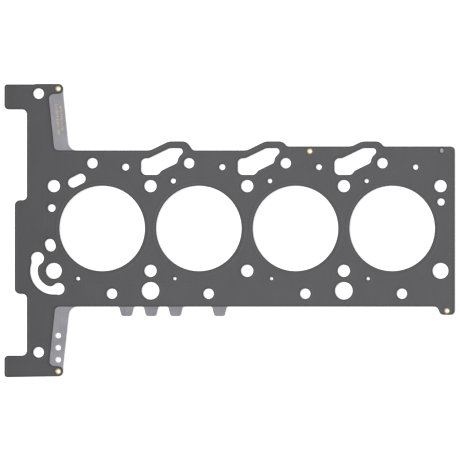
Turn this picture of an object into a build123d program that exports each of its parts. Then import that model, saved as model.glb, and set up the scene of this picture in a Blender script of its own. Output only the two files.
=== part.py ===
from build123d import *
import os

# Cylinder head gasket of a four-cylinder engine, in three layers of steel sheet.
# A bare carrier lies between two coated, beaded cover layers. A thin stopper ring round each
# bore is welded to the carrier, and four hollow eyelets rivet the layers together.
# Sizes are in millimetres. The origin is on the face that meets the engine block, midway
# between bores 2 and 3. +X runs along the bores, away from the two long arms, +Y points to
# the edge with the slanted windows, and +Z points to the cylinder head.

# Row of bores
bore_count = 4
bore_diameter = 87.5
bore_land = 11.5

# Layers. The beads hold each cover this high above the carrier.
cover_thickness = 0.25
carrier_thickness = 0.70
bead_height = 0.25

# Full bead round each bore, pressed towards the carrier, and the stopper ring inside it
bead_gap = 2.25
bead_width = 2.5
stopper_width = 2.0
stopper_thickness = 0.12

# Plate around the bores: margins from the bores' edges to the plate's edges
front_margin = 36.25
rear_margin = 36.15
rear_step = 4.1
left_margin = 45.75
right_margin = 20.45
plate_corner = 4.4

# Bulge of the left edge between the two arms
arm_inset = 12.4
bulge_top = 28.9
bulge_bottom = -67.0
bulge_corner = 5.3
bulge_fillet = 4.6

# Arms along the left end, each with a tab at its tip that ends in an eyelet's lobe
rear_reach = 148.0
front_reach = -151.3
tab_overhang = 23.0
rear_tab_width = 26.0
front_tab_width = 21.0
tab_corner = 2.7
tab_heel = 3.9
tab_fillet = 5.3
lobe_radius = 4.9
lobe_inset = 49.45
lobe_neck = 0.85
arm_lean = 0.105
rear_arm_root = 40.5
front_arm_root = 41.4
arm_inner_fillet = 4.8

# The rear tab's end is stepped back, and the front tab's slopes out past its lobe
rear_tab_step = 0.5
step_start = 30.2
step_run = 2.3
step_blend = 3.0
front_tab_slope = 1.0

# Bare strips, where the carrier shows beside each arm
strip_width = 14.8
strip_fillet = 9.2
mark_hole_diameter = 5.6
mark_hole_pitch = 12.4
mark_hole_count = 3
mark_hole_drop = 29.2
mark_hole_x = 44.4

# Teeth of the carrier past the front edge
tooth_length = 9.8
tooth_base = 15.2
tooth_tip = 10.4
tooth_tip_radius = 2.8
tooth_base_radius = 2.2
tooth_pitch = 25.05
tooth_group = 3
tooth_start = 24.95
lone_tooth_step = 45.0

# Ear at the front right corner
ear_drop = 8.45
ear_width = 14.8
ear_lean = 3.3
ear_corner = 4.5
ear_fillet = 5.2

# Windows behind bores 2 to 4, and the arch of the rear edge round each. The rear edge steps
# up past the low arches.
window_corners = (
    (-59.1, 11.1, 5.0),
    (-41.6, 11.1, 5.0),
    (-38.5, 15.4, 5.0),
    (-22.0, 23.4, 4.5),
    (-21.2, 28.8, 8.0),
    (-11.6, 38.5, 3.5),
    (-29.9, 38.5, 8.0),
    (-51.4, 28.1, 6.0),
    (-59.1, 28.1, 5.0),
)
low_arch_count = 2
arch_height = 45.4
arch_start = -31.0
arch_end = -12.7
arch_rise = 0.49
arch_fall = 1.4
arch_blend = 14.0
arch_shoulder = 7.6
arch_foot = 4.2

# Head bolts, in two rows halfway between the bores, and the two dowels at the front corners
bolt_row = 43.4
bolt_hole_diameter = 12.5
dowel_hole_diameter = 16.2

# Round passages beside every bore: place from the bore's centre and edge, and diameter
oil_hole_diameter = 10.6
oil_hole_x = 10.0
oil_hole_gap = 23.1
drain_hole_diameter = 18.0
drain_hole_gap = 20.05
coolant_x = 24.0
coolant_gap = 19.05
coolant_diameters = (7.1, 6.1, 5.9, 5.3)
rear_vent_x = -26.2
rear_vent_gap = 4.85
rear_vent_diameters = (5.2, 4.6, 4.2)
front_vent_x = -24.6
front_vent_gap = 7.65
front_vent_diameters = (3.8, 3.3, 3.3, 3.3)

# Passages at the two ends of the row
tilted_slot_x = -26.0
tilted_slot_gap = 5.2
tilted_slot_length = 8.7
tilted_slot_width = 10.2
tilted_slot_angle = 27.0
left_hole_gap = 7.95
left_hole_y = 20.9
left_hole_diameter = 7.8
right_hole_gap = 6.25
right_hole_y = 27.1
right_hole_diameter = 7.4
oval_gap = 9.35
oval_y = -17.1
oval_length = 2.8
oval_width = 10.2
oval_angle = -71.0

# Hooked slot round the front left bolt, with a bulb blended into each end
hook_radius = 20.4
hook_width = 7.6
hook_start = 142.7
hook_sweep = 141.7
hook_rear_bulb = 6.55
hook_rear_reach = 21.05
hook_front_bulb = 6.05
hook_front_reach = 19.0
hook_blend = 6.0

# Arm holes, each set back from its arm's tip
arm_hole_diameter = 10.8
arm_hole_inset = 24.4
rear_arm_hole_drop = 9.9
front_arm_hole_drop = 24.5

# Small upright slot near the rear right corner, in the top layer alone
spot_inset = 13.5
spot_drop = 4.2
spot_width = 3.6
spot_length = 1.0

# Hollow eyelets, and the dimples that sink their flanges below the covers' faces
eyelet_bore = 4.0
eyelet_wall = 0.2
eyelet_flange = 6.0
eyelet_flare = 0.15
eyelet_clearance = 0.05
dimple_margin = 0.85
dimple_slope = 1.0
edge_eyelet_x = 14.6
ear_eyelet_inset = 8.1
ear_eyelet_margin = 4.1

bore_radius = bore_diameter / 2
bore_pitch = bore_diameter + bore_land
bore_xs = [(i - (bore_count - 1) / 2) * bore_pitch for i in range(bore_count)]
bolt_xs = [(i - bore_count / 2) * bore_pitch for i in range(bore_count + 1)]

left_edge = bore_xs[0] - bore_radius - left_margin
right_edge = bore_xs[-1] + bore_radius + right_margin
front_edge = -bore_radius - front_margin
rear_edge = bore_radius + rear_margin
raised_rear_edge = rear_edge + rear_step
arm_edge = left_edge + arm_inset
tab_edge = arm_edge - tab_overhang
lobe_edge = left_edge + lobe_inset


def outline(corners):
    """A closed outline through corners given as x, y and the radius that rounds each."""
    points = [(x, y) for x, y, radius in corners]
    radii = [radius for x, y, radius in corners]
    return make_face(FilletPolyline(*points, radius=radii, close=True))


# Stretches of the outer outline, each from left to right or top to bottom, clockwise

def rear_edge_corners():
    """The rear edge's arches round the windows, and its step up past the low ones."""
    corners = []
    for i, x in enumerate(bore_xs[1:], start=1):
        top = bore_radius + arch_height
        before = raised_rear_edge if i > low_arch_count else rear_edge
        after = raised_rear_edge if i >= low_arch_count else rear_edge
        corners += [
            (x + arch_start - (top - before) / arch_rise, before, arch_blend),
            (x + arch_start, top, arch_blend),
            (x + arch_end, top, arch_shoulder),
            (x + arch_end + (top - after) / arch_fall, after, arch_foot),
        ]
    return corners


def right_end_corners():
    """The right end, from its rear corner round the ear to the front edge."""
    ear_bottom = front_edge - ear_drop
    return [
        (right_edge, raised_rear_edge, plate_corner),
        (right_edge, ear_bottom, plate_corner),
        (right_edge - ear_width, ear_bottom, ear_corner),
        (right_edge - ear_width - ear_lean, front_edge, ear_fillet),
    ]


def left_end_corners():
    """The left end, from the front tab past the bulge to the rear tab."""
    return [
        (tab_edge, front_reach - front_tab_slope, tab_corner),
        (tab_edge, front_reach + front_tab_width, tab_heel),
        (arm_edge, front_reach + front_tab_width, tab_fillet),
        (arm_edge, bulge_bottom, bulge_fillet),
        (left_edge, bulge_bottom, bulge_corner),
        (left_edge, bulge_top, bulge_corner),
        (arm_edge, bulge_top, bulge_fillet),
        (arm_edge, rear_reach - rear_tab_width, tab_fillet),
        (tab_edge, rear_reach - rear_tab_width, tab_heel),
        (tab_edge, rear_reach - rear_tab_step, tab_corner),
        (tab_edge + step_start, rear_reach - rear_tab_step, step_blend),
        (tab_edge + step_start + step_run, rear_reach, step_blend),
    ]


def cover_arm_corners(reach, edge, root):
    """A cover's lobe round the eyelet and its slanted inner edge, down to the plate."""
    side = 1 if reach > 0 else -1
    tip = reach - side * (2 * lobe_radius + lobe_neck)
    root_x = left_edge + root
    return [
        (lobe_edge, reach, lobe_radius),
        (lobe_edge, reach - side * 2 * lobe_radius, lobe_radius),
        (root_x - arm_lean * abs(tip - edge), tip, arm_inner_fillet),
        (root_x, edge, arm_inner_fillet),
    ]


def carrier_arm_corners(reach, edge, root):
    """The carrier's bare strip, wider than the covers by the strip's width."""
    side = 1 if reach > 0 else -1
    return [
        (lobe_edge, reach, lobe_radius),
        (lobe_edge, reach - side * 2 * lobe_radius, 0),
        (left_edge + root + strip_width, edge, strip_fillet),
    ]


def tooth_corners():
    """The carrier's teeth past the front edge, from right to left."""
    first = bore_xs[0] + tooth_start
    group = [first + i * tooth_pitch for i in range(tooth_group)]
    tip = front_edge - tooth_length
    corners = []
    for x in reversed(group + [group[-1] + lone_tooth_step]):
        corners += [
            (x + tooth_base / 2, front_edge, tooth_base_radius),
            (x + tooth_tip / 2, tip, tooth_tip_radius),
            (x - tooth_tip / 2, tip, tooth_tip_radius),
            (x - tooth_base / 2, front_edge, tooth_base_radius),
        ]
    return corners


cover_outline = outline(
    cover_arm_corners(rear_reach, rear_edge, rear_arm_root)
    + rear_edge_corners()
    + right_end_corners()
    + cover_arm_corners(front_reach, front_edge, front_arm_root)[::-1]
    + left_end_corners()
)
carrier_outline = outline(
    carrier_arm_corners(rear_reach, rear_edge, rear_arm_root)
    + rear_edge_corners()
    + right_end_corners()
    + tooth_corners()
    + carrier_arm_corners(front_reach, front_edge, front_arm_root)[::-1]
    + left_end_corners()
)


def rounds(centres, diameter):
    """Round holes of one diameter."""
    return [Pos(x, y) * Circle(diameter / 2) for x, y in centres]


def bolt_holes():
    """Ten head-bolt holes. The front corner ones are wider, for dowel sleeves."""
    rear = [(x, bolt_row) for x in bolt_xs]
    front = [(x, -bolt_row) for x in bolt_xs[1:-1]]
    dowels = [(bolt_xs[0], -bolt_row), (bolt_xs[-1], -bolt_row)]
    return rounds(rear + front, bolt_hole_diameter) + rounds(dowels, dowel_hole_diameter)


def passages():
    """Oil, coolant and vent holes beside the bores."""
    oil = [(x - oil_hole_x, bore_radius + oil_hole_gap) for x in bore_xs]
    oil += [(x + oil_hole_x, -bore_radius - oil_hole_gap) for x in bore_xs]
    drains = [(x, -bore_radius - drain_hole_gap) for x in (bolt_xs[1], bolt_xs[-2])]
    holes = rounds(oil, oil_hole_diameter) + rounds(drains, drain_hole_diameter)
    rows = (
        (bore_xs, coolant_x, bore_radius + coolant_gap, coolant_diameters),
        (bore_xs[1:], rear_vent_x, bore_radius + rear_vent_gap, rear_vent_diameters),
        (bore_xs, front_vent_x, -bore_radius - front_vent_gap, front_vent_diameters),
    )
    for xs, shift, y, diameters in rows:
        for x, diameter in zip(xs, diameters):
            holes += rounds([(x + shift, y)], diameter)
    return holes


def end_passages():
    """Slots and holes past the first and last bores."""
    left = bore_xs[0] - bore_radius
    right = bore_xs[-1] + bore_radius
    tilted = SlotCenterToCenter(tilted_slot_length, tilted_slot_width, tilted_slot_angle)
    oval = SlotCenterToCenter(oval_length, oval_width, oval_angle)
    return [
        Pos(bore_xs[0] + tilted_slot_x, bore_radius + tilted_slot_gap) * tilted,
        Pos(left - oval_gap, oval_y) * oval,
        Pos(left - left_hole_gap, left_hole_y) * Circle(left_hole_diameter / 2),
        Pos(right + right_hole_gap, right_hole_y) * Circle(right_hole_diameter / 2),
    ]


def windows():
    """Slanted windows behind every bore but the first."""
    return [
        outline([(x + dx, bore_radius + gap, radius) for dx, gap, radius in window_corners])
        for x in bore_xs[1:]
    ]


def hooked_slot():
    """The slot that curls round the front left dowel, with a bulb blended into each end."""
    slot = SlotArc(CenterArc((0, 0), hook_radius, hook_start, hook_sweep), hook_width)
    slot += Rot(0, 0, hook_start) * Pos(hook_rear_reach, 0) * Circle(hook_rear_bulb)
    hook_end = Rot(0, 0, hook_start + hook_sweep)
    slot += hook_end * Pos(hook_front_reach, 0) * Circle(hook_front_bulb)
    blended = offset(offset(slot, amount=hook_blend), amount=-hook_blend)
    return Pos(bolt_xs[0], -bolt_row) * blended


eyelet_places = {
    "rear_arm": (lobe_edge - lobe_radius, rear_reach - lobe_radius),
    "rear_edge": (bore_xs[-2] + edge_eyelet_x, raised_rear_edge - lobe_radius),
    "ear": (right_edge - ear_eyelet_inset, front_edge - ear_drop + ear_eyelet_margin),
    "front_arm": (lobe_edge - lobe_radius, front_reach + lobe_radius),
}
arm_holes = [
    (left_edge + arm_hole_inset, rear_reach - rear_arm_hole_drop),
    (left_edge + arm_hole_inset, front_reach + front_arm_hole_drop),
]
mark_row = front_reach + mark_hole_drop
mark_holes = [
    (left_edge + mark_hole_x, mark_row + (i - (mark_hole_count - 1) / 2) * mark_hole_pitch)
    for i in range(mark_hole_count)
]
eyelet_hole_diameter = eyelet_bore + 2 * (eyelet_wall + eyelet_clearance)
openings = (
    rounds([(x, 0) for x in bore_xs], bore_diameter)
    + bolt_holes()
    + passages()
    + end_passages()
    + windows()
    + [hooked_slot()]
    + rounds(arm_holes, arm_hole_diameter)
    + rounds(eyelet_places.values(), eyelet_hole_diameter)
)

carrier_bottom = cover_thickness + bead_height
carrier_top = carrier_bottom + carrier_thickness
total_height = carrier_top + carrier_bottom


def turned(section):
    """A ring or disc turned about the Z axis from the radius and height of each corner."""
    corners = [(radius, 0, z) for radius, z in section]
    return revolve(make_face(Polyline(*corners, close=True)), Axis.Z)


def pressed(z):
    """What the press moves, from height z: a ridge round every bore, a dimple at every eyelet."""
    foot = bore_radius + bead_gap
    crest = z + bead_height
    ridge = turned([(foot, z), (foot + bead_width / 2, crest), (foot + bead_width, z)])
    seat = eyelet_flange / 2 + dimple_margin
    dimple = turned([(0, z), (0, crest), (seat, crest), (seat + dimple_slope, z)])
    return [Pos(x, 0) * ridge for x in bore_xs] + [
        Pos(x, y) * dimple for x, y in eyelet_places.values()
    ]


def cover():
    """The bottom layer: its outer face is at z = 0, and its beads rise to the carrier."""
    blank = extrude(cover_outline, carrier_bottom)
    sheet = extrude(cover_outline, cover_thickness) - pressed(0)
    formed = sheet + ((Part() + pressed(cover_thickness)) & blank)
    return formed - extrude(Sketch() + openings, carrier_bottom)


def carrier():
    """The middle layer, with the bare strips, their mark holes and the teeth."""
    holes = openings + rounds(mark_holes, mark_hole_diameter)
    return Pos(0, 0, carrier_bottom) * extrude(carrier_outline - holes, carrier_thickness)


def spot_slot():
    """The small upright slot that shows the carrier through the top layer."""
    slot = SlotCenterToCenter(spot_length, spot_width, 90)
    place = Pos(right_edge - spot_inset, raised_rear_edge - spot_drop, carrier_top)
    return place * extrude(slot, carrier_bottom)


def stopper_ring():
    """A stopper ring, flat on the carrier's top face between a bore and its bead."""
    ring = Circle(bore_radius + stopper_width) - Circle(bore_radius)
    return Pos(0, 0, carrier_top) * extrude(ring, stopper_thickness)


def eyelet():
    """A hollow rivet whose two flanges lie in the covers' dimples."""
    inner = eyelet_bore / 2
    barrel = inner + eyelet_wall
    flange = eyelet_flange / 2
    low, high = bead_height, total_height - bead_height
    bottom, top = low - eyelet_wall, high + eyelet_wall
    return turned([
        (inner, bottom + eyelet_flare),
        (inner + eyelet_flare, bottom),
        (flange, bottom),
        (flange, low),
        (barrel, low),
        (barrel, high),
        (flange, high),
        (flange, top),
        (inner + eyelet_flare, top),
        (inner, top - eyelet_flare),
    ])


bottom_layer = cover()
pieces = {
    "bottom_layer": bottom_layer,
    "carrier": carrier(),
    "top_layer": mirror(bottom_layer, Plane.XY.offset(total_height / 2)) - spot_slot(),
}
for i, x in enumerate(bore_xs):
    pieces[f"stopper_ring_{i + 1}"] = Pos(x, 0) * stopper_ring()
for place, (x, y) in eyelet_places.items():
    pieces[f"eyelet_{place}"] = Pos(x, y) * eyelet()

os.makedirs("parts", exist_ok=True)
for name, piece in pieces.items():
    export_step(piece, f"parts/{name}.step")
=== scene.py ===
import math
import random

import bmesh
import bpy
import numpy as np
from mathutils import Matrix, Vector
from mathutils.geometry import delaunay_2d_cdt


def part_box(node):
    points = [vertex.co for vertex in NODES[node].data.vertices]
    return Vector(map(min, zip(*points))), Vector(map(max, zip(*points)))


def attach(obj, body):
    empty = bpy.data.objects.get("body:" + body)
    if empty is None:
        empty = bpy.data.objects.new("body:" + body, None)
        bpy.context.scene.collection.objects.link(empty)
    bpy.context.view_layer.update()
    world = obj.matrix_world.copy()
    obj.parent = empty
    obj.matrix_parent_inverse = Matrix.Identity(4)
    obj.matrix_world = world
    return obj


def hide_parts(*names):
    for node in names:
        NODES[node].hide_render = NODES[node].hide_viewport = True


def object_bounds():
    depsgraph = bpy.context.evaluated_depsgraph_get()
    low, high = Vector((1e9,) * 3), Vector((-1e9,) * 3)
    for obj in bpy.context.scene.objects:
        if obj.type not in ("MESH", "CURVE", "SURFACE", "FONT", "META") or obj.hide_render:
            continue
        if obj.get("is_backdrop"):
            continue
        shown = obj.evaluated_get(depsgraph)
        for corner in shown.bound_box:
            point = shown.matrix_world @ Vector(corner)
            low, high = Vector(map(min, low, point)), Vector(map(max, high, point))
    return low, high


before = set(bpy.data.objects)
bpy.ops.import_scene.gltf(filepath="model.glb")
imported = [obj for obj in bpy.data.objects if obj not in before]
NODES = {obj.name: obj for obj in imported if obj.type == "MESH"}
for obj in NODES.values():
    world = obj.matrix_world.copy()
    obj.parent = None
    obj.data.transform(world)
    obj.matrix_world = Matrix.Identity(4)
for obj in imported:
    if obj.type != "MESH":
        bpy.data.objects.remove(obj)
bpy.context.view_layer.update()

bl_info = {
    "name": "Head gasket",
    "version": (1, 0, 0),
    "blender": (4, 5, 0),
    "location": "3D View > Sidebar > Gasket",
    "description": "Dresses a multi-layer steel head gasket and sets it on a white table",
    "category": "Object",
}

MM = 0.001
EYELETS = sorted(name for name in NODES if name.startswith("eyelet"))
STOPPERS = sorted(name for name in NODES if name.startswith("stopper"))

# How finely the sheets are divided, in millimetres
OUTLINE_STEP = 2.0
JACKET_STEP = 1.6
CELL = 0.2
WELD = 0.001

# Into how many parts a full bead's width and a stretch of the jacket line are divided
BEAD_PARTS = 6
JACKET_PARTS = 6

# How far from a line its effect is worked out, in millimetres
EDGE_REACH = 3.0
HALF_BEAD_REACH = 6.0
BORE_BEAD_REACH = 8.0
JACKET_REACH = 4.0

# How much nearer to its line than asked a point may be and still count as clear, in millimetres
SHIFT_SLACK = 0.02
EDGE_SLACK = 0.03
JACKET_SLACK = 0.05

# An opening wider than this is a bore, in millimetres
BORE_LEAST = 60.0

# Faces that meet at more than this keep a sharp edge
SHEET_CREASE = math.radians(50)
EYELET_CREASE = math.radians(60)

# Keeps a division from zero
TINY = 1e-12


# Sizes and colours that a user would change

class SheetSettings(bpy.types.PropertyGroup):
    """How the press forms a cover sheet."""

    thickness: bpy.props.FloatProperty(
        name="Thickness", description="Thickness of a cover sheet",
        default=0.25 * MM, unit="LENGTH", precision=5)
    bead_height: bpy.props.FloatProperty(
        name="Bead height", description="How far beads and half beads step towards the carrier",
        default=0.25 * MM, unit="LENGTH", precision=5)
    edge_band: bpy.props.FloatProperty(
        name="Edge band", description="Flat band between the outer edge and its half bead",
        default=1.5 * MM, unit="LENGTH", precision=5)
    hole_band: bpy.props.FloatProperty(
        name="Hole band", description="Flat band between a passage and its half bead",
        default=1.2 * MM, unit="LENGTH", precision=5)
    slope: bpy.props.FloatProperty(
        name="Half bead width", description="Width of a half bead's slope",
        default=1.3 * MM, unit="LENGTH", precision=5)
    bead_gap: bpy.props.FloatProperty(
        name="Bore bead gap", description="From a bore's edge to the foot of its full bead",
        default=2.25 * MM, unit="LENGTH", precision=5)
    bead_width: bpy.props.FloatProperty(
        name="Bore bead width", description="Width of the full bead round a bore",
        default=2.5 * MM, unit="LENGTH", precision=5)
    jacket_width: bpy.props.FloatProperty(
        name="Jacket bead width", description="Width of the shallow bead round the water jacket",
        default=2.0 * MM, unit="LENGTH", precision=5)
    jacket_depth: bpy.props.FloatProperty(
        name="Jacket bead depth", description="Depth of the shallow bead round the water jacket",
        default=0.12 * MM, unit="LENGTH", precision=5)
    roll_width: bpy.props.FloatProperty(
        name="Roll-over width", description="Width of the corner that the punch rolls over",
        default=0.3 * MM, unit="LENGTH", precision=5)
    roll_depth: bpy.props.FloatProperty(
        name="Roll-over depth", description="Depth of the corner that the punch rolls over",
        default=0.08 * MM, unit="LENGTH", precision=5)


class FinishSettings(bpy.types.PropertyGroup):
    """Colours of the finishes."""

    coat: bpy.props.FloatVectorProperty(
        name="Coating", description="Colour of the cover sheets' coating",
        default=(0.108, 0.108, 0.1125), subtype="COLOR", size=3, min=0, max=1)
    steel: bpy.props.FloatVectorProperty(
        name="Bare steel", description="Colour of the rolled carrier sheet",
        default=(0.333, 0.3295, 0.360), subtype="COLOR", size=3, min=0, max=1)
    cut_edge: bpy.props.FloatVectorProperty(
        name="Cut edge", description="Colour of the punched edges",
        default=(0.42, 0.42, 0.43), subtype="COLOR", size=3, min=0, max=1)
    brass: bpy.props.FloatVectorProperty(
        name="Brass", description="Colour of the hollow eyelets",
        default=(0.44, 0.33, 0.12), subtype="COLOR", size=3, min=0, max=1)
    ink: bpy.props.FloatVectorProperty(
        name="Ink", description="Colour of the plain strokes on the rear strip",
        default=(0.52, 0.44, 0.30), subtype="COLOR", size=3, min=0, max=1)


class StageSettings(bpy.types.PropertyGroup):
    """The table, the lights and the camera."""

    table_colour: bpy.props.FloatVectorProperty(
        name="Table", description="Colour of the table",
        default=(0.92, 0.92, 0.92), subtype="COLOR", size=3, min=0, max=1)
    glow: bpy.props.FloatProperty(
        name="Table glow", description="How much whiter the table looks than it is lit",
        default=0.5, min=0)
    sky: bpy.props.FloatProperty(
        name="Sky", description="Strength of the even white light", default=0.55, min=0)
    lamp: bpy.props.FloatProperty(
        name="Lamp", description="Strength of the soft light from the left", default=1.9, min=0)
    lens: bpy.props.FloatProperty(
        name="Lens", description="Focal length in millimetres", default=200.0, min=1)
    picture_width: bpy.props.FloatProperty(
        name="Picture width", description="Width that the picture takes in",
        default=0.471, unit="LENGTH")
    centre_x: bpy.props.FloatProperty(
        name="Centre X", description="Where the camera stands along X",
        default=-17.6 * MM, unit="LENGTH", precision=5)
    centre_y: bpy.props.FloatProperty(
        name="Centre Y", description="Where the camera stands along Y",
        default=-1.6 * MM, unit="LENGTH", precision=5)


def placed(name, data):
    """A new object in the scene that shows a mesh, a lamp or a camera."""
    made = bpy.data.objects.new(name, data)
    bpy.context.scene.collection.objects.link(made)
    return made


# Flat outlines

def closed_outlines(node_name):
    """The outlines of a flat sheet seen from above, the outer one first, in millimetres."""
    mesh = bmesh.new()
    mesh.from_mesh(NODES[node_name].data)
    bmesh.ops.remove_doubles(mesh, verts=mesh.verts, dist=WELD * MM)
    mesh.normal_update()
    hidden = [face for face in mesh.faces if face.normal.z < 0.5]
    bmesh.ops.delete(mesh, geom=hidden, context="FACES")
    mesh.edges.index_update()
    rim = {edge.index: edge for edge in mesh.edges if len(edge.link_faces) == 1}
    outlines = []
    while rim:
        edge = rim.pop(next(iter(rim)))
        start, here = edge.verts
        outline = [start, here]
        while here is not start:
            edge = next(e for e in here.link_edges if e.index in rim)
            del rim[edge.index]
            here = edge.other_vert(here)
            outline.append(here)
        outlines.append(np.array([vert.co.xy[:] for vert in outline[:-1]]) / MM)
    mesh.free()
    return sorted(outlines, key=lambda outline: -np.ptp(outline[:, 0]))


def signed_area(outline):
    """Area of a closed outline, positive where it runs anticlockwise."""
    x, y = outline.T
    return 0.5 * np.sum(x * np.roll(y, -1) - np.roll(x, -1) * y)


def densified(outline, step):
    """The outline with points added on its long stretches."""
    points = []
    for a, b in zip(outline, np.roll(outline, -1, axis=0)):
        count = max(1, math.ceil(np.linalg.norm(b - a) / step))
        points += [a + (b - a) * i / count for i in range(count)]
    return np.array(points)


def turned_left(vectors):
    """Each vector turned a quarter to its left."""
    return np.stack([-vectors[:, 1], vectors[:, 0]], axis=1)


def shifted(outline, offset):
    """Every point of a closed outline moved to its left by offset, at most twice that far."""
    along = np.roll(outline, -1, axis=0) - outline
    along /= np.linalg.norm(along, axis=1)[:, None]
    left = turned_left(along + np.roll(along, 1, axis=0))
    left /= np.maximum(np.linalg.norm(left, axis=1), TINY)[:, None]
    share = np.maximum(np.abs(np.sum(left * turned_left(along), axis=1)), 0.5)
    return outline + left * (offset / share)[:, None]


def distance(points, outline, reach):
    """Distance of each point from a closed outline, or reach where it is further away."""
    result = np.full(len(points), float(reach))
    after = np.roll(outline, -1, axis=0)
    at_once = 16
    for first in range(0, len(outline), at_once):
        start, end = outline[first:first + at_once], after[first:first + at_once]
        low = np.minimum(start, end).min(axis=0) - reach
        high = np.maximum(start, end).max(axis=0) + reach
        near = np.flatnonzero(np.all((points > low) & (points < high), axis=1))
        if len(near) == 0:
            continue
        along = end - start
        length = np.maximum(np.sum(along * along, axis=1), TINY)
        offset = points[near][:, None, :] - start
        part = np.clip(np.sum(offset * along, axis=2) / length, 0, 1)
        gap = offset - part[:, :, None] * along
        nearest = np.sqrt(np.min(np.sum(gap * gap, axis=2), axis=1))
        result[near] = np.minimum(result[near], nearest)
    return result


def inside(points, outline):
    """True for each point within a closed outline."""
    low, high = outline.min(axis=0), outline.max(axis=0)
    near = np.flatnonzero(np.all((points >= low) & (points <= high), axis=1))
    result = np.zeros(len(points), bool)
    x0, y0 = outline.T
    x1, y1 = np.roll(outline, -1, axis=0).T
    rise = np.where(np.abs(y1 - y0) < TINY, TINY, y1 - y0)
    at_once = 2000
    for chunk in np.array_split(near, max(1, len(near) // at_once)):
        x, y = points[chunk, 0][:, None], points[chunk, 1][:, None]
        crossed = ((y0 > y) != (y1 > y)) & (x < (x1 - x0) * (y - y0) / rise + x0)
        result[chunk] = np.sum(crossed, axis=1) % 2 == 1
    return result


# The pressed form of a cover sheet

def smooth_closed(corners, parts):
    """A closed smooth curve through the corners, with so many parts between two of them."""
    p0, p1 = np.roll(corners, 1, axis=0), corners
    p2, p3 = np.roll(corners, -1, axis=0), np.roll(corners, -2, axis=0)
    curve = []
    for i in range(parts):
        t = i / parts
        curve.append(0.5 * (2 * p1 + (p2 - p0) * t + (2 * p0 - 5 * p1 + 4 * p2 - p3) * t * t
                            + (3 * p1 - p0 - 3 * p2 + p3) * t ** 3))
    return np.stack(curve, axis=1).reshape(-1, 2)


def bore_centres():
    """Where the bores stand along X, in millimetres, as their stopper rings show."""
    boxes = [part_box(name) for name in STOPPERS]
    return [round((low.x + high.x) / 2 / MM, 1) for low, high in boxes]


def jacket_line():
    """The closed line of the shallow bead round the water jacket, smooth, in millimetres."""
    bores = bore_centres()
    rear_left = ((-207.5, 48.0), (-204.0, 57.0), (-194.0, 58.5), (-184.0, 58.0))
    right = ((184.0, 63.0), (199.0, 55.0), (207.6, 47.0), (207.6, 5.0), (207.0, -24.0),
             (198.0, -31.0), (188.5, -36.0), (185.0, -47.0), (176.0, -55.0))
    front_left = ((-186.5, -50.0), (-186.0, -36.0), (-197.0, -29.5), (-209.5, -16.0),
                  (-209.0, 10.0))
    # From a bore's centre: behind it, round the rear bolt hole right of it, in front of it,
    # and round the front bolt hole left of it where a drain is there too
    behind = ((-38.5, 50.5), (-20.0, 60.5), (-4.0, 58.6), (6.0, 61.0), (14.0, 68.0), (26.0, 70.0))
    round_bolt = ((33.5, 64.0), (36.5, 52.0), (41.0, 38.0), (49.5, 33.6), (58.0, 38.0))
    in_front = ((12.0, -55.8), (-10.0, -55.8), (-26.0, -56.6))
    round_drain = ((-37.0, -51.0), (-41.5, -38.0), (-49.5, -32.0), (-57.5, -38.0),
                   (-62.0, -51.0), (-72.0, -55.6))
    corners = list(rear_left)
    for bore in bores:
        beside = behind if bore == bores[-1] else behind + round_bolt
        corners += [(bore + dx, y) for dx, y in beside]
    corners += right
    for number in reversed(range(len(bores))):
        # Only the second and the fourth bore have a drain left of them
        has_drain = number % 2 == 1
        beside = in_front + round_drain if has_drain else in_front
        corners += [(bores[number] + dx, y) for dx, y in beside]
    corners += front_left
    return smooth_closed(np.array(corners), JACKET_PARTS)


def ramp(gap, band, slope):
    """1 within the band along an edge, falling smoothly to 0 across the slope."""
    part = np.clip((gap - band) / slope, 0, 1)
    return 1 - part * part * (3 - 2 * part)


def is_bore(opening):
    """True for the four large openings."""
    return np.ptp(opening[:, 0]) > BORE_LEAST


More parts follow.
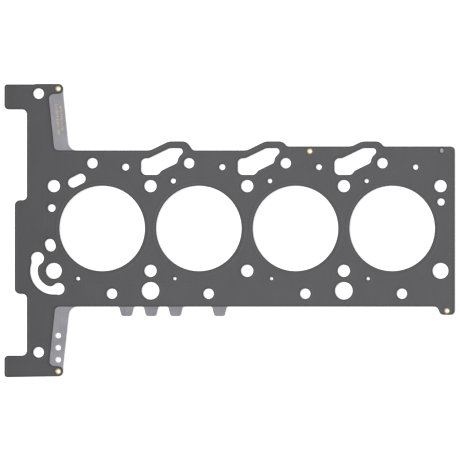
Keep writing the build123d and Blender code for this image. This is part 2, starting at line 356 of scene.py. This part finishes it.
class PunchedSheet:
    """A flat punched sheet: its outlines, and how far its faces lie below flat at every point."""

    def __init__(self, node_name, settings):
        outlines = [densified(o, OUTLINE_STEP) for o in closed_outlines(node_name)]
        self.outer = outlines[0] if signed_area(outlines[0]) > 0 else outlines[0][::-1]
        self.holes = [o if signed_area(o) < 0 else o[::-1] for o in outlines[1:]]
        self.settings = settings

    def edge_steps(self):
        """Distances from a cut edge at which the rolled-over corner needs points."""
        roll = self.settings.roll_width / MM
        return [roll / 3, roll]

    def parts(self):
        """Every outline with the distances from its edge at which the sheet needs points."""
        for outline in [self.outer] + self.holes:
            yield outline, self.edge_steps()

    def lines(self):
        """Open stretches of further points, each clear of the lines beside it."""
        return []

    def roll(self, points):
        """The corner that the punch rolls over, in millimetres below the face."""
        form = self.settings
        part = np.clip(1 - self.edge_gap(points) / (form.roll_width / MM), 0, 1)
        return part * part * form.roll_depth / MM

    def outer_drop(self, points):
        """How far the outer face lies below flat, in millimetres."""
        return self.roll(points)

    def inner_drop(self, points):
        """How far the inner face lies below flat, in millimetres."""
        return np.zeros(len(points))

    def edge_gap(self, points):
        """Distance of each point from the nearest cut edge, up to the reach."""
        gaps = [distance(points, outline, EDGE_REACH) for outline in [self.outer] + self.holes]
        return np.min(gaps, axis=0)

    def samples(self):
        """Points along the edges and beads, clear of each other and of the outlines."""
        found = []
        for outline, offsets in self.parts():
            for offset in offsets:
                ring = shifted(outline, offset)
                kept = distance(ring, outline, offset + 1) > offset - SHIFT_SLACK
                found.append(ring[kept])
        points = np.concatenate(found + self.lines())
        points = points[inside(points, self.outer)]
        for outline in self.holes:
            points = points[~inside(points, outline)]
        points = points[self.edge_gap(points) > self.edge_steps()[0] - EDGE_SLACK]
        cells = np.round(points / CELL).astype(int)
        first = np.unique(cells, axis=0, return_index=True)[1]
        return points[np.sort(first)]

    def triangles(self):
        """Corners and triangles that cover the sheet seen from above."""
        corners, rim = [], []
        for outline in [self.outer] + self.holes:
            start = len(corners)
            corners += [Vector(point) for point in outline]
            rim += [(start + i, start + (i + 1) % len(outline)) for i in range(len(outline))]
        corners += [Vector(point) for point in self.samples()]
        inner_faces, merge = 1, 1e-5
        made = delaunay_2d_cdt(corners, rim, [], inner_faces, merge)
        flat = np.array([point[:] for point in made[0]])
        faces = np.array([face for face in made[2] if len(face) == 3])
        middle = flat[faces].mean(axis=1)
        kept = inside(middle, self.outer)
        for outline in self.holes:
            kept &= ~inside(middle, outline)
        return flat, faces[kept]


class PressedSheet(PunchedSheet):
    """A cover sheet: a punched sheet with half beads, full beads and a jacket bead pressed in."""

    def __init__(self, node_name, settings):
        super().__init__(node_name, settings)
        self.jacket = jacket_line()

    def parts(self):
        form = self.settings
        slope = form.slope / MM
        steps = [0, slope / 3, slope * 2 / 3, slope]
        outer = self.edge_steps() + [form.edge_band / MM + step for step in steps]
        hole = self.edge_steps() + [form.hole_band / MM + step for step in steps]
        foot, width = form.bead_gap / MM, form.bead_width / MM
        across = [foot + width * i / BEAD_PARTS for i in range(BEAD_PARTS + 1)]
        bore = self.edge_steps() + across
        yield self.outer, outer
        for outline in self.holes:
            yield outline, bore if is_bore(outline) else hole

    def lines(self):
        half = self.settings.jacket_width / MM / 2
        found = []
        for part in (-1, -0.5, 0, 0.5, 1):
            ring = shifted(densified(self.jacket, JACKET_STEP), part * half)
            gap = distance(ring, self.jacket, JACKET_REACH)
            found.append(ring[gap > abs(part * half) - JACKET_SLACK])
        return found

    def beads(self, points):
        """How far the beads step down towards the carrier, in millimetres."""
        form = self.settings
        gap = distance(points, self.outer, HALF_BEAD_REACH)
        low = ramp(gap, form.edge_band / MM, form.slope / MM)
        for outline in self.holes:
            if is_bore(outline):
                gap = distance(points, outline, BORE_BEAD_REACH) - form.bead_gap / MM
                turn = np.clip(gap / (form.bead_width / MM), 0, 1)
                low = np.maximum(low, 0.5 - 0.5 * np.cos(turn * 2 * math.pi))
            else:
                gap = distance(points, outline, HALF_BEAD_REACH)
                low = np.maximum(low, ramp(gap, form.hole_band / MM, form.slope / MM))
        across = distance(points, self.jacket, JACKET_REACH) / (form.jacket_width / MM / 2)
        shallow = 0.5 + 0.5 * np.cos(np.clip(across, 0, 1) * math.pi)
        return np.maximum(low * (form.bead_height / MM), shallow * form.jacket_depth / MM)

    def outer_drop(self, points):
        return self.beads(points) + self.roll(points)

    def inner_drop(self, points):
        return self.beads(points)


def rim_edges(faces):
    """The directed edges that only one triangle uses."""
    directed = np.concatenate([faces[:, [0, 1]], faces[:, [1, 2]], faces[:, [2, 0]]])
    known = {tuple(e) for e in directed.tolist()}
    return [(a, b) for a, b in known if (b, a) not in known]


def sheet_piece(name, node_name, sheet, facing_up, thickness, materials):
    """A closed mesh of a sheet that stands for a flat CAD one, with its outer face up or down."""
    low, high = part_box(node_name)
    flat, faces = sheet.triangles()
    sign = 1 if facing_up else -1
    face_z = high.z if facing_up else low.z
    outer = np.column_stack([flat * MM, face_z - sign * sheet.outer_drop(flat) * MM])
    inner_z = face_z - sign * (thickness + sheet.inner_drop(flat) * MM)
    inner = np.column_stack([flat * MM, inner_z])
    count = len(flat)
    top, bottom = (faces, faces[:, ::-1] + count) if facing_up else (faces[:, ::-1], faces + count)
    walls = []
    for a, b in rim_edges(top):
        walls.append((b, a, a + count))
        walls.append((b, a + count, b + count))
    mesh = bpy.data.meshes.new(name)
    every = np.concatenate([top, bottom, np.array(walls)])
    mesh.from_pydata(np.concatenate([outer, inner]).tolist(), [], every.tolist())
    # The walls take the second material, that of the cut edge
    slots = np.zeros(len(every), np.int32)
    slots[len(top) + len(bottom):] = 1
    mesh.polygons.foreach_set("material_index", slots)
    mesh.polygons.foreach_set("use_smooth", np.ones(len(every), bool))
    gap = np.tile(sheet.edge_gap(flat), 2).astype(np.float32)
    mesh.attributes.new("edge_gap", "FLOAT", "POINT").data.foreach_set("value", gap)
    mesh.set_sharp_from_angle(angle=SHEET_CREASE)
    mesh.update()
    for material in materials:
        mesh.materials.append(material)
    piece = placed(name, mesh)
    even = piece.modifiers.new("Even shading", "WEIGHTED_NORMAL")
    even.mode = "FACE_AREA"
    even.keep_sharp = True
    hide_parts(node_name)
    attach(piece, "root")
    return piece


# Shader groups

def new_group(name, inputs, outputs):
    """An empty shader group with named number sockets, what it is given and what it returns."""
    group = bpy.data.node_groups.new(name, "ShaderNodeTree")
    for title, default in inputs.items():
        socket = group.interface.new_socket(title, in_out="INPUT", socket_type="NodeSocketFloat")
        socket.default_value = default
    for title in outputs:
        group.interface.new_socket(title, in_out="OUTPUT", socket_type="NodeSocketFloat")
    given = group.nodes.new("NodeGroupInput").outputs
    result = group.nodes.new("NodeGroupOutput").inputs
    return group, given, result


def add_node(tree, kind, **values):
    """A new node with its properties, and its input sockets by name or number, set."""
    made = tree.nodes.new(kind)
    for key, value in values.items():
        if key == "sockets":
            for socket, default in value.items():
                made.inputs[socket].default_value = default
        else:
            setattr(made, key, value)
    return made


def rolled_grain():
    """Fine straight streaks, as rolling leaves them along a sheet."""
    group = bpy.data.node_groups.get("Rolled grain")
    if group:
        return group
    group, given, result = new_group(
        "Rolled grain", {"Width": 0.4 * MM, "Length": 30 * MM}, ["Streaks"])
    link = group.links.new
    place = add_node(group, "ShaderNodeTexCoord")
    across = add_node(group, "ShaderNodeMath", operation="DIVIDE", sockets={0: 1.0})
    along = add_node(group, "ShaderNodeMath", operation="DIVIDE", sockets={0: 1.0})
    scale = add_node(group, "ShaderNodeCombineXYZ")
    stretched = add_node(group, "ShaderNodeVectorMath", operation="MULTIPLY")
    noise = add_node(group, "ShaderNodeTexNoise", sockets={"Scale": 1.0, "Detail": 3.0})
    link(given["Width"], across.inputs[1])
    link(given["Length"], along.inputs[1])
    link(across.outputs[0], scale.inputs["X"])
    link(along.outputs[0], scale.inputs["Y"])
    link(along.outputs[0], scale.inputs["Z"])
    link(place.outputs["Object"], stretched.inputs[0])
    link(scale.outputs[0], stretched.inputs[1])
    link(stretched.outputs[0], noise.inputs["Vector"])
    link(noise.outputs["Fac"], result["Streaks"])
    return group


def mottle():
    """Soft patches of a chosen size, centred on 0, with finer ones in them."""
    group = bpy.data.node_groups.get("Mottle")
    if group:
        return group
    group, given, result = new_group("Mottle", {"Size": 10 * MM, "Amount": 0.1}, ["Patches"])
    link = group.links.new
    place = add_node(group, "ShaderNodeTexCoord")
    scale = add_node(group, "ShaderNodeMath", operation="DIVIDE", sockets={0: 1.0})
    noise = add_node(group, "ShaderNodeTexNoise", sockets={"Detail": 4.0})
    centred = add_node(group, "ShaderNodeMath", operation="SUBTRACT", sockets={1: 0.5})
    scaled = add_node(group, "ShaderNodeMath", operation="MULTIPLY")
    link(given["Size"], scale.inputs[1])
    link(scale.outputs[0], noise.inputs["Scale"])
    link(place.outputs["Object"], noise.inputs["Vector"])
    link(noise.outputs["Fac"], centred.inputs[0])
    link(centred.outputs[0], scaled.inputs[0])
    link(given["Amount"], scaled.inputs[1])
    link(scaled.outputs[0], result["Patches"])
    return group


def slow_change():
    """A value that goes slowly from 0 to an amount along X, from one place to another."""
    group = bpy.data.node_groups.get("Slow change")
    if group:
        return group
    group, given, result = new_group(
        "Slow change", {"Start": 0.0, "End": 0.1, "Steepness": 1.0, "Amount": 0.1}, ["Change"])
    link = group.links.new
    place = add_node(group, "ShaderNodeTexCoord")
    axes = add_node(group, "ShaderNodeSeparateXYZ")
    part = add_node(group, "ShaderNodeMapRange", clamp=True)
    curve = add_node(group, "ShaderNodeMath", operation="POWER")
    scaled = add_node(group, "ShaderNodeMath", operation="MULTIPLY")
    link(place.outputs["Object"], axes.inputs[0])
    link(axes.outputs["X"], part.inputs["Value"])
    link(given["Start"], part.inputs["From Min"])
    link(given["End"], part.inputs["From Max"])
    link(part.outputs["Result"], curve.inputs[0])
    link(given["Steepness"], curve.inputs[1])
    link(curve.outputs[0], scaled.inputs[0])
    link(given["Amount"], scaled.inputs[1])
    link(scaled.outputs[0], result["Change"])
    return group


def edge_shade_mask():
    """A ragged line along the cut edges, where the materials paint shade. Its values are in
    millimetres, as each sheet's are.
    """
    group = bpy.data.node_groups.get("Painted edge shade")
    if group:
        return group
    group, given, result = new_group("Painted edge shade", {"Width": 0.8, "Raggedness": 0.5}, ["Mask"])
    link = group.links.new
    gap = add_node(group, "ShaderNodeAttribute", attribute_name="edge_gap")
    patches = add_node(group, "ShaderNodeGroup", node_tree=mottle(), sockets={"Size": 1.2 * MM})
    uneven = add_node(group, "ShaderNodeMath", operation="ADD")
    part = add_node(group, "ShaderNodeMath", operation="DIVIDE")
    mask = add_node(group, "ShaderNodeMath", operation="SUBTRACT", use_clamp=True,
                    sockets={0: 1.0})
    link(given["Raggedness"], patches.inputs["Amount"])
    link(gap.outputs["Fac"], uneven.inputs[0])
    link(patches.outputs["Patches"], uneven.inputs[1])
    link(uneven.outputs[0], part.inputs[0])
    link(given["Width"], part.inputs[1])
    link(part.outputs[0], mask.inputs[1])
    link(mask.outputs[0], result["Mask"])
    return group


# The groups as materials use them

def mottled(tree, size, amount):
    """Soft patches of a size, lighter and darker by up to about half the amount."""
    patches = add_node(tree, "ShaderNodeGroup", node_tree=mottle(),
                       sockets={"Size": size, "Amount": amount})
    return patches.outputs["Patches"]


def grained(tree, width, length):
    """The rolled grain's streaks, from 0 to 1."""
    grain = add_node(tree, "ShaderNodeGroup", node_tree=rolled_grain(),
                     sockets={"Width": width, "Length": length})
    return grain.outputs["Streaks"]


def streaked(tree, grain, amount):
    """The grain's streaks, centred on 0, lighter and darker by up to half the amount."""
    streaks = add_node(tree, "ShaderNodeMath", operation="MULTIPLY_ADD",
                       sockets={1: amount, 2: -amount / 2})
    tree.links.new(grain, streaks.inputs[0])
    return streaks.outputs[0]


def painted_edge_shade(tree, width, raggedness, amount):
    """Painted shade: the amount along the cut edges, gone at a width in millimetres from them."""
    edge = add_node(tree, "ShaderNodeGroup", node_tree=edge_shade_mask(),
                    sockets={"Width": width, "Raggedness": raggedness})
    scaled = add_node(tree, "ShaderNodeMath", operation="MULTIPLY", sockets={1: amount})
    tree.links.new(edge.outputs["Mask"], scaled.inputs[0])
    return scaled.outputs[0]


def along_x(tree, start, end, amount, steepness=1.0):
    """0 up to the start and the amount from the end on, both places along X."""
    change = add_node(tree, "ShaderNodeGroup", node_tree=slow_change(),
                      sockets={"Start": start, "End": end, "Steepness": steepness,
                               "Amount": amount})
    return change.outputs["Change"]


# Materials

def new_material(name, metallic, roughness):
    """A material with its shader's even values set, and the tree and shader to build on."""
    material = bpy.data.materials.new(name)
    material.use_nodes = True
    tree = material.node_tree
    shader = tree.nodes["Principled BSDF"]
    shader.inputs["Metallic"].default_value = metallic
    shader.inputs["Roughness"].default_value = roughness
    return material, tree, shader


def shade(tree, colour, factor):
    """The colour made lighter or darker by a factor that changes over the surface."""
    mix = add_node(tree, "ShaderNodeMix", data_type="RGBA", blend_type="MULTIPLY")
    mix.inputs["Factor"].default_value = 1.0
    mix.inputs["A"].default_value = (*colour, 1)
    tree.links.new(factor, mix.inputs["B"])
    return mix.outputs["Result"]


def around(tree, centre, *patches):
    """A value that varies round a centre by the sum of the patches."""
    total = None
    for patch in patches:
        add = add_node(tree, "ShaderNodeMath", operation="ADD", sockets={0: centre})
        if total:
            tree.links.new(total, add.inputs[0])
        tree.links.new(patch, add.inputs[1])
        total = add.outputs[0]
    return total


def bumped(tree, shader, height, depth, strength):
    """Feeds a height from 0 to 1 to the shader's normal, as relief of a depth."""
    bump = add_node(tree, "ShaderNodeBump", sockets={"Distance": depth, "Strength": strength})
    tree.links.new(height, bump.inputs["Height"])
    tree.links.new(bump.outputs["Normal"], shader.inputs["Normal"])


def coated_steel(finish):
    """The rubbery coating: pores, soft patches, and painted shade along the cut edges and towards
    the left end.
    """
    roughness = 0.6
    material, tree, shader = new_material("coated steel", metallic=0.0, roughness=roughness)
    shader.inputs["Specular IOR Level"].default_value = 0.3
    link = tree.links.new
    pores = mottled(tree, size=0.35 * MM, amount=0.5)
    patches = mottled(tree, size=26 * MM, amount=0.22)
    streaks = streaked(tree, grained(tree, width=1.1 * MM, length=60 * MM), amount=0.10)
    # Painted shade: a dark line along the coating's cut edges
    edges = painted_edge_shade(tree, width=1.5, raggedness=0.15, amount=-0.6)
    # Painted shade: the coating grows darker towards the left end, where the light falls off
    left_falloff_shade = along_x(tree, start=200 * MM, end=-240 * MM, amount=-0.25, steepness=4.0)
    level = around(tree, 1.0, pores, patches, streaks, edges, left_falloff_shade)
    link(shade(tree, finish.coat, level), shader.inputs["Base Color"])
    link(around(tree, roughness, patches), shader.inputs["Roughness"])
    bumped(tree, shader, pores, depth=0.02 * MM, strength=0.35)
    return material


def bare_steel(finish, name="bare steel", roughness=0.42, grain_width=0.5 * MM):
    """Rolled sheet with streaks and stains, with painted shade along its edges and at its teeth at
    the left end, and painted light towards the right end.
    """
    material, tree, shader = new_material(name, metallic=0.85, roughness=roughness)
    link = tree.links.new
    grain = grained(tree, width=grain_width, length=45 * MM)
    streaks = streaked(tree, grain, amount=0.5)
    stains = mottled(tree, size=14 * MM, amount=0.3)
    # Painted shade: a darker band along the cut edges
    edges = painted_edge_shade(tree, width=2.8, raggedness=0.3, amount=-0.14)
    # Painted shade at the left end over the teeth, and painted light that brightens the steel
    # towards the right end, as the light falls off to the left
    teeth = along_x(tree, start=-175 * MM, end=-135 * MM, amount=-0.085)
    slot = along_x(tree, start=0.0, end=190 * MM, amount=0.23)
    level = around(tree, 1.0, streaks, stains, edges, teeth, slot)
    link(shade(tree, finish.steel, level), shader.inputs["Base Color"])
    link(around(tree, roughness, stains), shader.inputs["Roughness"])
    bumped(tree, shader, grain, depth=0.01 * MM, strength=0.3)
    return material


def cut_edge(finish):
    """The bright punched edge of a sheet, with the marks of the shear across it."""
    roughness = 0.4
    material, tree, shader = new_material("cut edge", metallic=0.9, roughness=roughness)
    link = tree.links.new
    marks = mottled(tree, size=0.3 * MM, amount=0.6)
    link(shade(tree, finish.cut_edge, around(tree, 1.0, marks)), shader.inputs["Base Color"])
    link(around(tree, roughness, marks), shader.inputs["Roughness"])
    return material


def brass(finish):
    """Bright rolled brass with faint turned marks and tarnish."""
    roughness = 0.28
    material, tree, shader = new_material("brass", metallic=1.0, roughness=roughness)
    link = tree.links.new
    tarnish = mottled(tree, size=2.5 * MM, amount=0.5)
    marks = mottled(tree, size=0.25 * MM, amount=0.25)
    level = around(tree, 1.0, tarnish, marks)
    link(shade(tree, finish.brass, level), shader.inputs["Base Color"])
    link(around(tree, roughness, marks), shader.inputs["Roughness"])
    bumped(tree, shader, marks, depth=0.01 * MM, strength=0.3)
    return material


def ink(finish):
    """Gold printing ink, thin and broken."""
    material, tree, shader = new_material("gold ink", metallic=0.2, roughness=0.5)
    broken = mottled(tree, size=0.5 * MM, amount=1.1)
    level = around(tree, 1.0, broken)
    tree.links.new(shade(tree, finish.ink, level), shader.inputs["Base Color"])
    return material


# Pieces

class GASKET_OT_cover_sheets(bpy.types.Operator):
    """Press the two cover sheets: half beads at the edges and holes, full beads at the bores"""

    bl_idname = "gasket.cover_sheets"
    bl_label = "Cover sheets"

    def execute(self, context):
        settings, finish = context.scene.gasket_sheet, context.scene.gasket_finish
        materials = [coated_steel(finish), cut_edge(finish)]
        for name, node_name, facing_up in (("top_sheet", "top_layer", True),
                                           ("bottom_sheet", "bottom_layer", False)):
            sheet = PressedSheet(node_name, settings)
            sheet_piece(name, node_name, sheet, facing_up, settings.thickness,
                        materials)
        return {"FINISHED"}


class GASKET_OT_carrier(bpy.types.Operator):
    """Punch the bare carrier, with its strips and its teeth"""

    bl_idname = "gasket.carrier"
    bl_label = "Carrier"

    def execute(self, context):
        finish = context.scene.gasket_finish
        sheet = PunchedSheet("carrier", context.scene.gasket_sheet)
        low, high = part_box("carrier")
        sheet_piece("carrier_sheet", "carrier", sheet, True, high.z - low.z,
                    [bare_steel(finish), bpy.data.materials["cut edge"]])
        return {"FINISHED"}


def dress(node_name, material):
    """Gives a CAD node a material in every slot."""
    mesh = NODES[node_name].data
    mesh.materials.clear()
    mesh.materials.append(material)
    mesh.polygons.foreach_set("material_index", np.zeros(len(mesh.polygons), np.int32))


class GASKET_OT_stopper_rings(bpy.types.Operator):
    """Finish the thin stopper rings round the bores"""

    bl_idname = "gasket.stopper_rings"
    bl_label = "Stopper rings"

    def execute(self, context):
        material = bare_steel(context.scene.gasket_finish, "stopper steel", roughness=0.3,
                              grain_width=0.2 * MM)
        for name in STOPPERS:
            dress(name, material)
        return {"FINISHED"}


def eyelet_section(low, high, bore_radius, wall):
    """Radius and height round an eyelet's wall, with rolled flanges at both ends."""
    flange = (high.x - low.x) / 2
    flare, lip, steps = 1.6 * wall, wall / 2, 6
    upper = []
    for i in range(steps + 1):
        turn = math.pi / 2 * i / steps
        radius = bore_radius + flare * (1 - math.cos(turn))
        upper.append((radius, high.z - flare * (1 - math.sin(turn))))
    for i in range(steps + 1):
        turn = math.pi / 2 - math.pi * i / steps
        upper.append((flange - lip + lip * math.cos(turn), high.z - lip + lip * math.sin(turn)))
    upper.append((bore_radius + wall, high.z - wall))
    middle = (low.z + high.z) / 2
    return upper + [(radius, 2 * middle - z) for radius, z in reversed(upper)]


def turned_piece(name, section, centre, segments):
    """A closed section turned about an upright axis."""
    mesh = bmesh.new()
    rings = []
    for i in range(segments):
        turn = 2 * math.pi * i / segments
        rings.append([
            mesh.verts.new((centre.x + r * math.cos(turn), centre.y + r * math.sin(turn), z))
            for r, z in section])
    for ring, after in zip(rings, rings[1:] + rings[:1]):
        for i in range(len(section)):
            j = (i + 1) % len(section)
            mesh.faces.new((ring[i], ring[j], after[j], after[i]))
    bmesh.ops.recalc_face_normals(mesh, faces=mesh.faces)
    data = bpy.data.meshes.new(name)
    mesh.to_mesh(data)
    mesh.free()
    data.polygons.foreach_set("use_smooth", np.ones(len(data.polygons), bool))
    data.set_sharp_from_angle(angle=EYELET_CREASE)
    return placed(name, data)


class GASKET_OT_eyelets(bpy.types.Operator):
    """Turn the four hollow eyelets with their rolled flanges"""

    bl_idname = "gasket.eyelets"
    bl_label = "Eyelets"

    segments: bpy.props.IntProperty(
        name="Segments", description="Steps round an eyelet", default=72, min=12)
    wall: bpy.props.FloatProperty(
        name="Wall", description="Thickness of an eyelet's wall",
        default=0.2 * MM, unit="LENGTH", precision=5)
    bore: bpy.props.FloatProperty(
        name="Bore", description="Diameter inside an eyelet",
        default=4.0 * MM, unit="LENGTH", precision=5)

    def execute(self, context):
        material = brass(context.scene.gasket_finish)
        for name in EYELETS:
            low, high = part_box(name)
            section = eyelet_section(low, high, self.bore / 2, self.wall)
            piece = turned_piece(name + "_rolled", section, (low + high) / 2, self.segments)
            piece.data.materials.append(material)
            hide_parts(name)
            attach(piece, "root")
        return {"FINISHED"}


def add_stroke(mesh, middle, half_width, half_height, thickness):
    """A thin flat stroke of ink on a face."""
    rise = Vector((0, 0, thickness))
    outline = (half_width + half_height, half_height - half_width,
               -half_width - half_height, half_width - half_height)
    lower = [mesh.verts.new(middle + corner) for corner in outline]
    upper = [mesh.verts.new(middle + corner + rise) for corner in outline]
    mesh.faces.new(upper)
    mesh.faces.new(lower[::-1])
    for i in range(4):
        j = (i + 1) % 4
        mesh.faces.new((lower[i], lower[j], upper[j], upper[i]))


class GASKET_OT_strip_marks(bpy.types.Operator):
    """Print two columns of plain strokes on the rear strip"""

    bl_idname = "gasket.strip_marks"
    bl_label = "Strip marks"

    pitch: bpy.props.FloatProperty(
        name="Pitch", description="From one stroke to the next",
        default=1.09 * MM, unit="LENGTH", precision=5)
    height: bpy.props.FloatProperty(
        name="Height", description="Length of a full stroke across its column",
        default=2.7 * MM, unit="LENGTH", precision=5)
    thickness: bpy.props.FloatProperty(
        name="Ink", description="Thickness of the ink",
        default=0.01 * MM, unit="LENGTH", precision=6)

    def execute(self, context):
        # Each column's rear end in millimetres, and the strokes in each of its groups
        columns = (((-195.5, 126.6), (12, 9, 6)), ((-191.3, 125.0), (6, 7, 3, 5)))
        # Shares of a full stroke's height, and of the pitch for its width and between groups
        heights, widths, group_gap = (1.0, 1.0, 0.55), (0.35, 0.55, 0.75), 0.9
        strip_slope, seed = 0.085, 7
        lean = math.atan(strip_slope)
        along = Vector((math.sin(lean), -math.cos(lean), 0))
        across = Vector((math.cos(lean), math.sin(lean), 0))
        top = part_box("carrier")[1].z
        dice = random.Random(seed)
        mesh = bmesh.new()
        for (x, y), groups in columns:
            place = Vector((x * MM, y * MM, top))
            for group in groups:
                for _ in range(group):
                    half = self.height / 2 * dice.choice(heights)
                    shift = dice.choice((-1, 1)) * (self.height / 2 - half)
                    middle = place + across * shift
                    width = self.pitch * dice.choice(widths) / 2
                    add_stroke(mesh, middle, along * width, across * half, self.thickness)
                    place = place + along * self.pitch
                place = place + along * self.pitch * group_gap
        data = bpy.data.meshes.new("strip_marks")
        mesh.to_mesh(data)
        mesh.free()
        data.materials.append(ink(context.scene.gasket_finish))
        piece = placed("strip_marks", data)
        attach(piece, "root")
        return {"FINISHED"}


# Stage

def seen_rays(tree):
    """1 for what the camera sees, directly or in a reflection or through glass."""
    rays = add_node(tree, "ShaderNodeLightPath")
    total = None
    for ray in ("Is Camera Ray", "Is Glossy Ray", "Is Transmission Ray"):
        add = add_node(tree, "ShaderNodeMath", operation="ADD", use_clamp=True, sockets={0: 0.0})
        if total:
            tree.links.new(total, add.inputs[0])
        tree.links.new(rays.outputs[ray], add.inputs[1])
        total = add.outputs[0]
    return total


def table_material(colour, glow):
    """White paper that keeps the part's soft shadow and looks white where it is seen."""
    material, tree, shader = new_material("table", metallic=0.0, roughness=0.9)
    link = tree.links.new
    paper = mottled(tree, size=3 * MM, amount=0.01)
    link(shade(tree, colour, around(tree, 1.0, paper)), shader.inputs["Base Color"])
    shader.inputs["Specular IOR Level"].default_value = 0.0
    lit = add_node(tree, "ShaderNodeEmission", sockets={"Color": (1, 1, 1, 1)})
    strength = add_node(tree, "ShaderNodeMath", operation="MULTIPLY", sockets={1: glow})
    total = add_node(tree, "ShaderNodeAddShader")
    link(seen_rays(tree), strength.inputs[0])
    link(strength.outputs[0], lit.inputs["Strength"])
    link(shader.outputs[0], total.inputs[0])
    link(lit.outputs[0], total.inputs[1])
    link(total.outputs[0], tree.nodes["Material Output"].inputs["Surface"])
    return material


def studio_world(sky):
    """An even white room: white where it is seen, and dimmer as a light on the part."""
    world = bpy.data.worlds.new("studio")
    world.use_nodes = True
    tree = world.node_tree
    strength = add_node(tree, "ShaderNodeMix", sockets={"A": sky, "B": 1.0})
    tree.links.new(seen_rays(tree), strength.inputs["Factor"])
    background = tree.nodes["Background"]
    background.inputs["Color"].default_value = (1, 1, 1, 1)
    tree.links.new(strength.outputs["Result"], background.inputs["Strength"])
    return world


def lay_table(stage):
    """A wide table just under the part."""
    half, drop = 3.0, 0.01 * MM
    corners = [(-half, -half), (half, -half), (half, half), (-half, half)]
    mesh = bpy.data.meshes.new("table")
    mesh.from_pydata([(x, y, -drop) for x, y in corners], [], [(0, 1, 2, 3)])
    mesh.materials.append(table_material(stage.table_colour, stage.glow))
    placed("table", mesh)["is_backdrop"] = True


def hang_lamp(strength):
    """A soft lamp above the part's left side, turned towards it."""
    lamp = bpy.data.lights.new("soft lamp", "SUN")
    lamp.energy = strength
    lamp.angle = math.radians(25)
    hung = placed("soft lamp", lamp)
    hung.location = Vector((-1.3, 0.5, 1.0))
    hung.rotation_euler = (-hung.location).to_track_quat("-Z", "Y").to_euler()


def set_camera(scene, stage):
    """A camera straight above the part, far enough away to take in the picture's width."""
    camera = bpy.data.cameras.new("camera")
    camera.lens = stage.lens
    camera.sensor_width = 36.0
    camera.clip_start, camera.clip_end = 0.1, 20.0
    away = stage.picture_width * stage.lens / camera.sensor_width
    scene.camera = placed("camera", camera)
    scene.camera.location = (stage.centre_x, stage.centre_y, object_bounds()[1].z + away)


class GASKET_OT_stage(bpy.types.Operator):
    """Lay the table and set the lights and the camera above it"""

    bl_idname = "gasket.stage"
    bl_label = "Stage"

    def execute(self, context):
        scene, stage = context.scene, context.scene.gasket_stage
        lay_table(stage)
        scene.world = studio_world(stage.sky)
        hang_lamp(stage.lamp)
        set_camera(scene, stage)
        scene.view_settings.view_transform = "Standard"
        return {"FINISHED"}


class GASKET_PT_panel(bpy.types.Panel):
    """The gasket's pieces and its stage"""

    bl_idname = "GASKET_PT_panel"
    bl_label = "Head gasket"
    bl_space_type = "VIEW_3D"
    bl_region_type = "UI"
    bl_category = "Gasket"

    def draw(self, context):
        scene = context.scene
        for title, settings in (("Sheets", scene.gasket_sheet), ("Finish", scene.gasket_finish),
                                ("Stage", scene.gasket_stage)):
            self.layout.label(text=title)
            for name in settings.bl_rna.properties.keys():
                if name not in ("rna_type", "name"):
                    self.layout.prop(settings, name)
        for operator in OPERATORS:
            self.layout.operator(operator.bl_idname)


SETTINGS = {
    "gasket_sheet": SheetSettings,
    "gasket_finish": FinishSettings,
    "gasket_stage": StageSettings,
}
OPERATORS = (
    GASKET_OT_cover_sheets,
    GASKET_OT_carrier,
    GASKET_OT_stopper_rings,
    GASKET_OT_eyelets,
    GASKET_OT_strip_marks,
    GASKET_OT_stage,
)


def register():
    """Makes the settings, the operators and the panel known."""
    for settings in SETTINGS.values():
        bpy.utils.register_class(settings)
    for operator in OPERATORS:
        bpy.utils.register_class(operator)
    bpy.utils.register_class(GASKET_PT_panel)
    for name, settings in SETTINGS.items():
        setattr(bpy.types.Scene, name, bpy.props.PointerProperty(type=settings))


def unregister():
    """Takes back what register makes known."""
    for name in SETTINGS:
        delattr(bpy.types.Scene, name)
    bpy.utils.unregister_class(GASKET_PT_panel)
    for operator in reversed(OPERATORS):
        bpy.utils.unregister_class(operator)
    for settings in reversed(SETTINGS.values()):
        bpy.utils.unregister_class(settings)


def main():
    """Makes every piece and the stage."""
    register()
    bpy.ops.gasket.cover_sheets()
    bpy.ops.gasket.carrier()
    bpy.ops.gasket.stopper_rings()
    bpy.ops.gasket.eyelets()
    bpy.ops.gasket.strip_marks()
    bpy.ops.gasket.stage()


if __name__ == "__main__":
    main()
